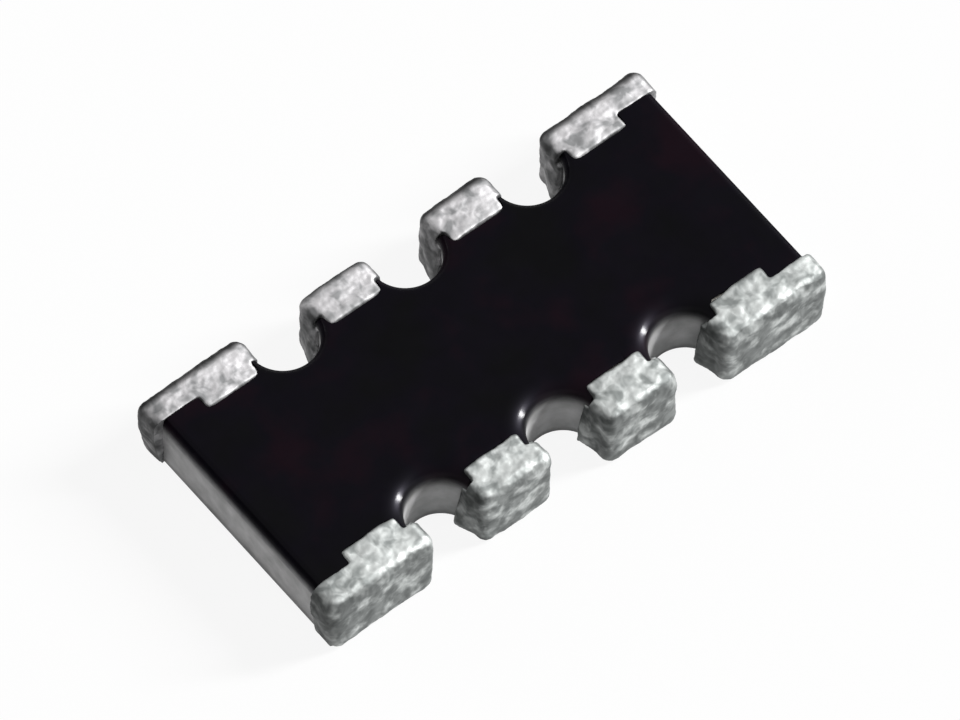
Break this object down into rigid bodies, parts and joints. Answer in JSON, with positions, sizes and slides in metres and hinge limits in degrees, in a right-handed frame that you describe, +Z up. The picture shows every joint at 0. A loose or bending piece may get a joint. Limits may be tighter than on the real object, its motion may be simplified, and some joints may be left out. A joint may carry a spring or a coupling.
{
  "type": "resistor network",
  "caption": "Flat notched ceramic chip with a glossy black top and bright wrap-around solder terminals along both long sides, holding a row of separate film resistors.",
  "frame": {"origin": "middle of the footprint, on the plane that the solder pads stand on", "axes": "+X along the row of terminals, +Y across the chip to its far side, +Z up out of the black top"},
  "size_m": [0.0032, 0.0016, 0.0004],
  "materials": {
    "ceramic": "matte",
    "black_coat": "gloss",
    "resistor_film": "matte",
    "film_glass": "gloss",
    "electrode_silver": "satin",
    "terminal_tin": "satin"
  },
  "bodies": {
    "root": {"ceramic_substrate": "ceramic", "overcoat": "black_coat", "resistor_film_1": "resistor_film", "resistor_film_2": "resistor_film", "resistor_film_3": "resistor_film", "resistor_film_4": "resistor_film", "glass_coat_1": "film_glass", "glass_coat_2": "film_glass", "glass_coat_3": "film_glass", "glass_coat_4": "film_glass", "top_electrode_1": "electrode_silver", "top_electrode_2": "electrode_silver", "top_electrode_3": "electrode_silver", "top_electrode_4": "electrode_silver", "top_electrode_5": "electrode_silver", "top_electrode_6": "electrode_silver", "top_electrode_7": "electrode_silver", "top_electrode_8": "electrode_silver", "back_electrode_1": "electrode_silver", "back_electrode_2": "electrode_silver", "back_electrode_3": "electrode_silver", "back_electrode_4": "electrode_silver", "back_electrode_5": "electrode_silver", "back_electrode_6": "electrode_silver", "back_electrode_7": "electrode_silver", "back_electrode_8": "electrode_silver", "terminal_1": "terminal_tin", "terminal_2": "terminal_tin", "terminal_3": "terminal_tin", "terminal_4": "terminal_tin", "terminal_5": "terminal_tin", "terminal_6": "terminal_tin", "terminal_7": "terminal_tin", "terminal_8": "terminal_tin"}
  },
  "joints": []
}
